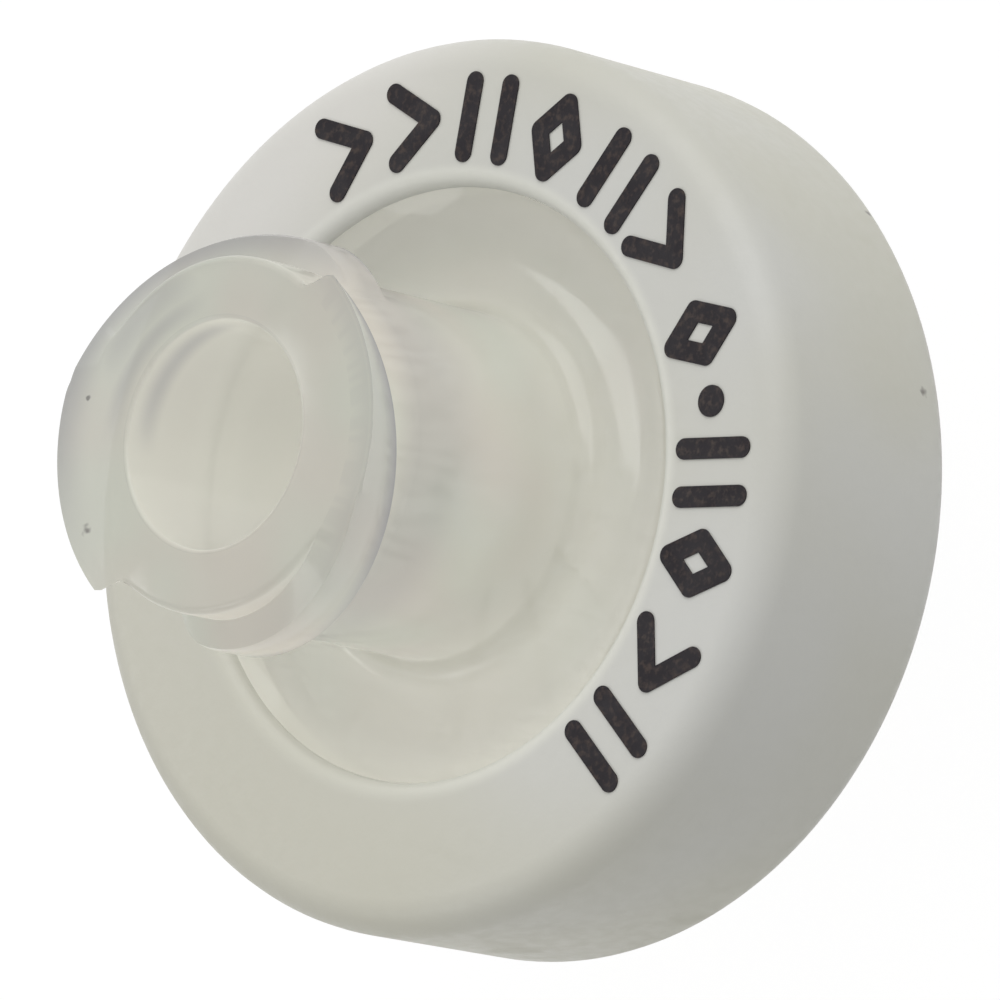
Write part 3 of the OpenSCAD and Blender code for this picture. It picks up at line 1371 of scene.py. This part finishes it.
@dataclass
class InletHousing(Housing):
    """The inlet half: a dished plate with a rim, a flow space and the Luer hub.

    Attributes:
        hub_r: Radius of the hub under the threads.
        hub_foot_round: Round at the hub's foot.
        dish_floor_w: Width of the flat floor round that foot.
        hub_edge_round: Round of the hub's outer edge at its end.
        socket_r: Radius of the socket at the hub's end.
        socket_depth: Depth of the socket.
        socket_edge_round: Round of the socket's edge.
        passage_r: Radius of the passage under the socket.
        flow_space: Height of the space over the discs.
        rib_count: Number of ribs.
        rib_w: Width of a rib.
        rib_start: Distance of the ribs' inner ends from the axis.
        row_margin: How far the rows of points that become the threads keep from the
            edges of the hub's wall, in radii of the rounds there.
    """

    hub_r: float = 3.35 * MM
    hub_foot_round: float = 0.5 * MM
    dish_floor_w: float = 0.1 * MM
    hub_edge_round: float = 0.15 * MM
    socket_r: float = 2.15 * MM
    socket_depth: float = 7.5 * MM
    socket_edge_round: float = 0.08 * MM
    passage_r: float = 1.1 * MM
    flow_space: float = 0.3 * MM
    rib_count: int = 12
    rib_w: float = 0.4 * MM
    rib_start: float = 1.6 * MM
    row_margin: float = 1.5

    def __post_init__(self) -> None:
        """Works out the dish, the thread and the heights that the methods share."""
        fit = self.fit
        self.dish = Dish(self.hub_r, self.hub_foot_round, fit.window_r - SEAM,
                         fit.ring_top - fit.lip, up=1, floor_w=self.dish_floor_w)
        self.thread = LuerThread(self.hub_r, fit.hub_end)
        self.roof = fit.parting + self.flow_space
        self.space_r = fit.disc_r - self.seal_w
        top = fit.hub_end - self.row_margin * self.hub_edge_round
        bottom = self.dish.floor_z + self.row_margin * self.hub_foot_round
        count = len(self.thread.section())
        self.rows = [top + (bottom - top) * i / (count - 1) for i in range(count)]

    def outline(self) -> list[Corner]:
        """Gives the section, from the passage up through the socket and down outside.

        Returns:
            The section's corners.
        """
        fit = self.fit
        socket_floor = fit.hub_end - self.socket_depth
        socket_floor_r = self.socket_r - self.socket_depth * self.luer_taper / 2
        return [Corner(self.passage_r, self.roof),
                Corner(self.passage_r, socket_floor),
                Corner(socket_floor_r, socket_floor),
                Corner(self.socket_r, fit.hub_end, self.socket_edge_round),
                Corner(self.hub_r, fit.hub_end, self.hub_edge_round),
                *[Corner(self.hub_r, z) for z in self.rows],
                *self.dish.corners(),
                *self.rim(fit.ring_top, up=1),
                Corner(self.space_r, fit.parting + SEAM),
                Corner(self.space_r, self.roof),
                Corner(self.rib_start, self.roof)]

    def wind_threads(self, mesh: bmesh.types.BMesh) -> None:
        """Moves the rows kept on the hub's wall out to the two threads.

        Args:
            mesh: The turned housing.
        """
        edge_z = self.fit.hub_end - self.hub_edge_round
        flank = mesh.verts.layers.float.new(THREAD_SHADE)
        for vert in mesh.verts:
            radius = off_axis(vert.co)
            if not self.hub_r - self.hub_edge_round + WELD < radius < self.hub_r + WELD:
                continue
            angle = math.degrees(math.atan2(vert.co.y, vert.co.x))
            if vert.co.z > edge_z - SEAM:
                top = self.thread.point(0, angle)[1]
                share = min(1.0, (self.fit.hub_end - top) / self.hub_edge_round)
                vert.co.z = self.fit.hub_end - (self.fit.hub_end - vert.co.z) * share
                continue
            row = min(range(len(self.rows)), key=lambda i: abs(self.rows[i] - vert.co.z))
            if abs(self.rows[row] - vert.co.z) < WELD:
                # the third value is the painted shade that the thread's flank carries
                new_radius, vert.co.z, vert[flank] = self.thread.point(row, angle)
                vert.co.x *= new_radius / radius
                vert.co.y *= new_radius / radius

    def raise_ribs(self, mesh: bmesh.types.BMesh) -> None:
        """Lets the ribs stand down from the roof of the flow space onto the discs.

        Their outer ends join the wall of the space, so no face is left between the two.

        Args:
            mesh: The turned housing.
        """
        for i in range(self.rib_count // 2):
            angle = math.tau * i / self.rib_count
            across = Vector((-math.sin(angle), math.cos(angle), 0.0))
            for side in (-1, 1):
                faces = self.roof_faces(mesh) + self.wall_faces(mesh)
                edges = {edge for face in faces for edge in face.edges}
                verts = {vert for face in faces for vert in face.verts}
                bmesh.ops.bisect_plane(mesh, geom=[*faces, *edges, *verts],
                                       plane_co=across * (side * self.rib_w / 2), plane_no=across)
        ribs = [face for face in self.roof_faces(mesh) if self.is_rib(face.calc_center_median())]
        drawn = bmesh.ops.extrude_face_region(mesh, geom=ribs)
        moved = [item for item in drawn["geom"] if isinstance(item, bmesh.types.BMVert)]
        bmesh.ops.translate(mesh, verts=moved, vec=(0.0, 0.0, SEAM - self.flow_space))
        bmesh.ops.delete(mesh, geom=ribs, context="FACES_ONLY")
        ends = [face for face in self.wall_faces(mesh) if self.is_rib(face.calc_center_median())]
        bmesh.ops.delete(mesh, geom=ends, context="FACES")
        bmesh.ops.remove_doubles(mesh, verts=mesh.verts[:], dist=WELD)
        bmesh.ops.recalc_face_normals(mesh, faces=mesh.faces[:])

    def roof_faces(self, mesh: bmesh.types.BMesh) -> list[bmesh.types.BMFace]:
        """Finds the faces of the flow space's roof."""
        return [face for face in mesh.faces
                if all(abs(vert.co.z - self.roof) < WELD for vert in face.verts)]

    def wall_faces(self, mesh: bmesh.types.BMesh) -> list[bmesh.types.BMFace]:
        """Finds the faces of the flow space's wall."""
        return [face for face in mesh.faces
                if all(abs(off_axis(vert.co) - self.space_r) < SEAM for vert in face.verts)]

    def is_rib(self, place: Vector) -> bool:
        """Tells whether a place on the roof or on the wall belongs to a rib.

        Args:
            place: The place.

        Returns:
            True if it does.
        """
        radius = off_axis(place)
        pitch = math.tau / self.rib_count
        off = (math.atan2(place.y, place.x) + pitch / 2) % pitch - pitch / 2
        return radius > self.rib_start and abs(radius * math.sin(off)) < self.rib_w / 2

    def build(self) -> None:
        """Turns the housing, winds its threads and raises its ribs."""
        mesh = turned(self.outline())
        self.wind_threads(mesh)
        bmesh.ops.remove_doubles(mesh, verts=mesh.verts[:], dist=2 * WELD)
        bmesh.ops.dissolve_degenerate(mesh, edges=mesh.edges[:], dist=WELD)
        flaps = {face for edge in mesh.edges if edge.is_boundary for face in edge.link_faces}
        bmesh.ops.delete(mesh, geom=list(flaps), context="FACES")
        self.raise_ribs(mesh)
        piece = finished("inlet_shell", mesh, self.material, Slot.POLYPROPYLENE)
        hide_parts("inlet_housing")


@dataclass
class OutletHousing(Housing):
    """The outlet half: a dished plate with a disc pocket, drain channels and the nozzle.

    Attributes:
        nozzle_r: Radius of the nozzle at its end.
        nozzle_end_round: Round of that end.
        nozzle_foot_round: Round at the nozzle's foot.
        taper_l: Length of the nozzle's taper.
        passage_r: Radius of the passage.
        pocket_gap: Gap round the discs.
        drain_depth: Depth of the drain channels.
        drain_w: Width of the drain channels, and of the lands between the round ones.
        ring_drains: Number of round channels.
        cross_drains: Number of straight channels.
    """

    nozzle_r: float = 2.0 * MM
    nozzle_end_round: float = 0.1 * MM
    nozzle_foot_round: float = 0.7 * MM
    taper_l: float = 7.5 * MM
    passage_r: float = 0.9 * MM
    pocket_gap: float = 0.05 * MM
    drain_depth: float = 0.35 * MM
    drain_w: float = 0.5 * MM
    ring_drains: int = 4
    cross_drains: int = 8

    def __post_init__(self) -> None:
        """Works out the dish and the nozzle's root."""
        fit = self.fit
        self.nozzle_root_r = self.nozzle_r + self.taper_l * self.luer_taper / 2
        self.dish = Dish(self.nozzle_root_r, self.nozzle_foot_round, fit.window_r - SEAM,
                         fit.ring_bottom + fit.lip, up=-1)
        self.drain_floor = fit.pocket_floor - self.drain_depth
        self.cross_end = fit.disc_r - self.seal_w - self.drain_w / 2

    def drains(self) -> list[Corner]:
        """Gives the round channels in the pocket's floor, from the outside in.

        Returns:
            Their corners.
        """
        floor = self.fit.pocket_floor - SEAM
        channels = []
        for i in reversed(range(self.ring_drains)):
            inner = self.passage_r + self.drain_w * (1 + 2 * i)
            outer = inner + self.drain_w
            channels += [Corner(outer, floor), Corner(outer, self.drain_floor),
                         Corner(inner, self.drain_floor), Corner(inner, floor)]
        return channels

    def outline(self) -> list[Corner]:
        """Gives the section, from the nozzle's end up outside and back through the pocket.

        Returns:
            The section's corners.
        """
        fit = self.fit
        pocket_r = fit.disc_r + self.pocket_gap
        return [Corner(self.passage_r, 0.0),
                Corner(self.nozzle_r, 0.0, self.nozzle_end_round),
                Corner(self.nozzle_root_r, self.taper_l),
                *self.dish.corners(),
                *self.rim(fit.ring_bottom, up=-1),
                Corner(pocket_r, fit.parting - SEAM),
                Corner(pocket_r, fit.pocket_floor - SEAM),
                *self.drains(),
                Corner(self.passage_r, fit.pocket_floor - SEAM)]

    def cutter(self, index: int) -> bpy.types.Object:
        """Makes the bar that cuts two opposite cross channels.

        Args:
            index: Which pair of channels.

        Returns:
            The bar, which isn't part of the object.
        """
        mesh = bmesh.new()
        height = 2 * self.drain_depth
        bmesh.ops.create_cube(mesh, size=1.0)
        bmesh.ops.scale(mesh, verts=mesh.verts[:], vec=(2 * self.cross_end, self.drain_w, height))
        bmesh.ops.translate(mesh, verts=mesh.verts[:], vec=(0.0, 0.0, self.drain_floor + height / 2))
        bmesh.ops.rotate(mesh, verts=mesh.verts[:], cent=(0, 0, 0),
                         matrix=Matrix.Rotation(math.tau * index / self.cross_drains, 3, "Z"))
        return placed("drain_cutter", mesh)

    def cut_cross_drains(self, mesh: bmesh.types.BMesh) -> bmesh.types.BMesh:
        """Cuts the straight channels that lead the round ones to the outlet.

        Args:
            mesh: The turned housing. It is freed.

        Returns:
            The housing with its channels.
        """
        blank = placed("outlet_blank", mesh)
        bars = [self.cutter(i) for i in range(self.cross_drains // 2)]
        for bar in bars:
            cut = blank.modifiers.new("drain", "BOOLEAN")
            cut.operation = "DIFFERENCE"
            cut.solver = "EXACT"
            cut.object = bar
        drained = bmesh.new()
        drained.from_object(blank, bpy.context.evaluated_depsgraph_get())
        for spent in (blank, *bars):
            bpy.data.meshes.remove(spent.data)
        return drained

    def build(self) -> None:
        """Turns the housing and cuts its drains."""
        mesh = self.cut_cross_drains(turned(self.outline()))
        piece = finished("outlet_shell", mesh, self.material, Slot.POLYPROPYLENE)
        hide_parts("outlet_housing")


@dataclass
class FilterDisc:
    """One of the two discs clamped between the housings.

    Attributes:
        name: Name of the piece.
        node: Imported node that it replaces.
        material: Its material.
        slot: The record's slot for that material.
        edge_round: Round of its edges.
        bows: Depth of the rings pressed into its upper face.
        rings: Number of steps from its edge to its middle.
        steps: Steps of its whole turn.
    """

    name: str
    node: str
    material: bpy.types.Material
    slot: Slot
    edge_round: float
    bows: float = 0.0
    rings: int = 10
    steps: int = 96

    def build(self) -> None:
        """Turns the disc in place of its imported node."""
        low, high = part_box(self.node)
        bottom = low.z + SEAM
        top = high.z - SEAM
        across = [Corner(high.x * (1 - i / self.rings), top - self.bows * (i % 2))
                  for i in range(1, self.rings)]
        outline = [Corner(0.0, bottom), Corner(high.x, bottom, self.edge_round),
                   Corner(high.x, top, self.edge_round), *across, Corner(0.0, top)]
        disc = finished(self.name, turned(outline, self.steps), self.material, self.slot)
        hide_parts(self.node)


@dataclass
class PrintedMarks:
    """The ring of plain printed marks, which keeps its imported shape.

    Attributes:
        material: Its material.
        node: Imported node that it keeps.
    """

    material: bpy.types.Material
    node: str = "printed_marks"

    def build(self) -> None:
        """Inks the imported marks."""
        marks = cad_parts[self.node]
        marks.data.materials.clear()
        marks.data.materials.append(self.material)
        LOG.info("%s: packed shape, %s", self.node, Slot.INK.value)


# ---- studio ------------------------------------------------------------------------


@dataclass(frozen=True)
class Softbox:
    """A flat lamp that faces the object.

    Attributes:
        name: Name of the lamp.
        azimuth: Where it stands round the flow axis, in degrees from +X.
        elevation: How high it stands, in degrees.
        level: How brightly it lights a white face that it meets squarely; 1 is full.
        size: Width and height.
        distance: How far away it stands.
    """

    name: str
    azimuth: float
    elevation: float
    level: float
    size: tuple[float, float]
    distance: float = 0.4

    def build(self, target: Vector) -> None:
        """Places the lamp so that it faces the target.

        Args:
            target: Point that it faces.
        """
        lamp = bpy.data.lights.new(self.name, "AREA")
        lamp.shape = "RECTANGLE"
        lamp.size, lamp.size_y = self.size
        lamp.energy = self.level * (math.pi * self.distance) ** 2
        towards = direction(self.azimuth, self.elevation)
        holder = linked(lamp)
        holder.location = target + towards * self.distance
        holder.rotation_euler = towards.to_track_quat("Z", "Y").to_euler()


@dataclass(frozen=True)
class ViewPoint:
    """The camera: where it looks from, and how it is rolled.

    Attributes:
        azimuth: Where it stands round the flow axis, in degrees from +X.
        elevation: How high it stands, in degrees.
        roll: How far it is turned round its own line of sight, in degrees.
        distance: Distance to the point that it looks at.
        focal: Focal length in millimetres.
        film: Width of the film in millimetres.
        clip: Nearest and farthest distance that it sees.
        aside: How far the point that it looks at lies off the axis, along X and Y.
        below_face: How far that point lies below the ring's face.
    """

    azimuth: float = -89.986
    elevation: float = 48.6497
    roll: float = 77.28
    distance: float = 180 * MM
    focal: float = 343.4
    film: float = 36.0
    clip: Range = (0.01, 10.0)
    aside: tuple[float, float] = (-0.025 * MM, -1.092 * MM)
    below_face: float = 0.961 * MM

    def build(self, ring_top: float) -> None:
        """Places the camera and makes it the scene's own.

        Args:
            ring_top: Height of the ring's inlet face.
        """
        target = Vector((*self.aside, ring_top - self.below_face))
        back = direction(self.azimuth, self.elevation)
        level_right = Vector((0.0, 0.0, 1.0)).cross(back).normalized()
        level_up = back.cross(level_right)
        roll = math.radians(self.roll)
        up = level_up * math.cos(roll) + level_right * math.sin(roll)
        right = up.cross(back)
        optics = bpy.data.cameras.new("view_point")
        optics.lens = self.focal
        optics.sensor_width = self.film
        optics.clip_start, optics.clip_end = self.clip
        camera = linked(optics)
        axes = Matrix((right, up, back)).transposed().to_4x4()
        camera.matrix_world = Matrix.Translation(target + back * self.distance) @ axes
        bpy.context.scene.camera = camera


@dataclass
class Studio:
    """A pale floor, even light all round and a few softboxes.

    Attributes:
        target: Point that the softboxes face.
        ambient: Strength of the even light.
        floor_size: Length of the floor's sides.
        floor_colour: Colour of the floor, as a screen shows it.
        floor_roughness: Roughness of the floor.
        floor_white: Brightness of the white that hides it.
        floor_share: How much of the floor's own shade that white hides.
        lamps: The softboxes.
    """

    target: Vector
    ambient: float = 0.5
    floor_size: float = 1.2
    floor_colour: Shown = (205, 205, 203)
    floor_roughness: float = 0.9
    floor_white: float = 1.1
    floor_share: float = 0.86
    lamps: tuple[Softbox, ...] = (
        Softbox("key_softbox", -14.0, 35.0, 0.5, (0.45, 0.40)),
        Softbox("window_softbox", 97.0, 36.0, 0.038, (0.056, 0.135)),
        Softbox("side_softbox", 115.0, 42.0, 0.10, (0.50, 0.35)),
        Softbox("fill_softbox", 152.0, 38.0, 0.05, (0.16, 0.12)),
    )

    @staticmethod
    def seen(nodes: ShaderNodes) -> bpy.types.NodeSocket:
        """Tells rays that show the background from rays that only gather its light.

        Args:
            nodes: The nodes of the world or of a material.

        Returns:
            1 for a ray that shows it, and 0 for the others.
        """
        path = nodes.add("ShaderNodeLightPath")
        return nodes.most(path.outputs["Is Camera Ray"], path.outputs["Is Glossy Ray"],
                          path.outputs["Is Transmission Ray"])

    def build_world(self) -> None:
        """Makes the air: even light, and white wherever the camera looks past the floor."""
        world = bpy.data.worlds.new("studio_air")
        world.use_nodes = True
        bpy.context.scene.world = world
        nodes = ShaderNodes(world.node_tree)
        air = world.node_tree.nodes["Background"]
        nodes.feed(air.inputs["Color"], (1.0, 1.0, 1.0, 1.0))
        nodes.feed(air.inputs["Strength"], nodes.pick(self.seen(nodes), self.ambient, 1.0))

    def build_floor(self) -> None:
        """Makes the floor: white with a faint shadow, and not seen from below."""
        mesh = bmesh.new()
        bmesh.ops.create_grid(mesh, x_segments=1, y_segments=1, size=self.floor_size / 2)
        bmesh.ops.translate(mesh, verts=mesh.verts[:], vec=(0.0, 0.0, -SEAM))
        floor = placed("studio_floor", mesh)
        material = bpy.data.materials.new("studio_floor")
        material.use_nodes = True
        nodes = ShaderNodes(material.node_tree)
        shader = material.node_tree.nodes["Principled BSDF"]
        nodes.feed(shader.inputs["Base Color"], display(*self.floor_colour))
        nodes.feed(shader.inputs["Roughness"], self.floor_roughness)
        white = nodes.add("ShaderNodeEmission")
        nodes.feed(white.inputs["Strength"], self.floor_white)
        hidden = nodes.times(self.seen(nodes), self.floor_share)
        above = nodes.mixed(hidden, shader.outputs[0], white.outputs[0])
        below = nodes.add("ShaderNodeNewGeometry").outputs["Backfacing"]
        nodes.show(nodes.mixed(below, above, nodes.add("ShaderNodeBsdfTransparent").outputs[0]))
        floor.data.materials.append(material)

    def build(self) -> None:
        """Makes the air, the floor and the lamps."""
        bpy.context.scene.view_settings.view_transform = "Standard"
        self.build_world()
        self.build_floor()
        for lamp in self.lamps:
            lamp.build(self.target)


def main() -> None:
    """Builds the pieces in order, then the studio and the camera."""
    logging.basicConfig(level=logging.INFO, format="%(name)s: %(message)s")
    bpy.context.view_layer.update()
    fit = Fit.read()
    clear = NaturalPolypropylene().material()
    pieces = [OvermouldRing(fit, WhiteOvermould().material()),
              InletHousing(fit, clear),
              OutletHousing(fit, clear),
              FilterDisc("fibre_disc", "glass_fibre_prefilter", GlassFibre().material(),
                         Slot.GLASS_FIBRE, 0.08 * MM, bows=0.02 * MM),
              FilterDisc("membrane_disc", "pes_membrane", Membrane().material(),
                         Slot.MEMBRANE, 0.03 * MM),
              PrintedMarks(PrintingInk().material())]
    for piece in pieces:
        piece.build()
    Studio(Vector((0.0, 0.0, fit.ring_top))).build()
    ViewPoint().build(fit.ring_top)


if __name__ == "__main__":
    main()
